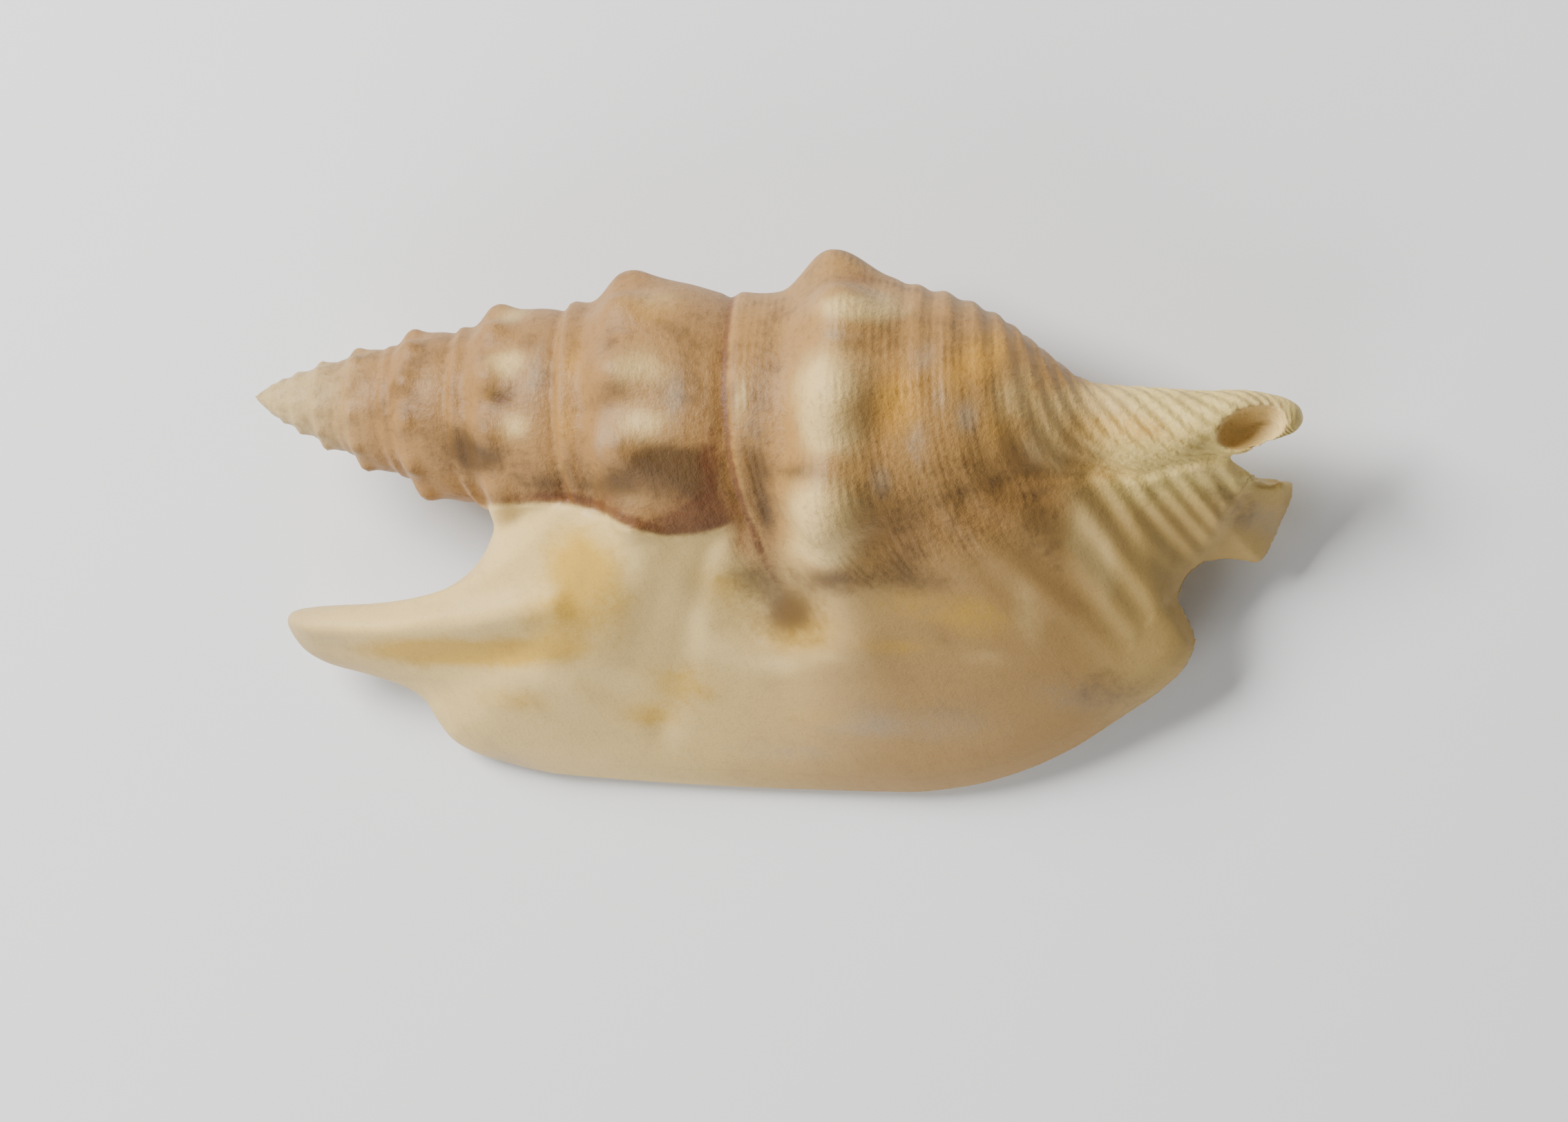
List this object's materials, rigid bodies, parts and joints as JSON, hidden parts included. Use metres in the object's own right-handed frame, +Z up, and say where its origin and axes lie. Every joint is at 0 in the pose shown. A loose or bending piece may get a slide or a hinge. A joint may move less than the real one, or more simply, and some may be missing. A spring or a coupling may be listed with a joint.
{
  "type": "strombid seashell",
  "caption": "Spired seashell with a knobbed last whorl, a wide outer lip drawn out in a long finger, a short canal and an open slit underneath.",
  "frame": {"origin": "centre of the bounding box's footprint, on the ground plane", "axes": "+X from the apex of the spire to the tip of the canal, -Y towards the outer lip, +Z up to the back of the shell"},
  "size_m": [0.09, 0.0448, 0.0263],
  "materials": {
    "shell": "satin"
  },
  "bodies": {
    "root": {"shell": "shell"}
  },
  "joints": []
}
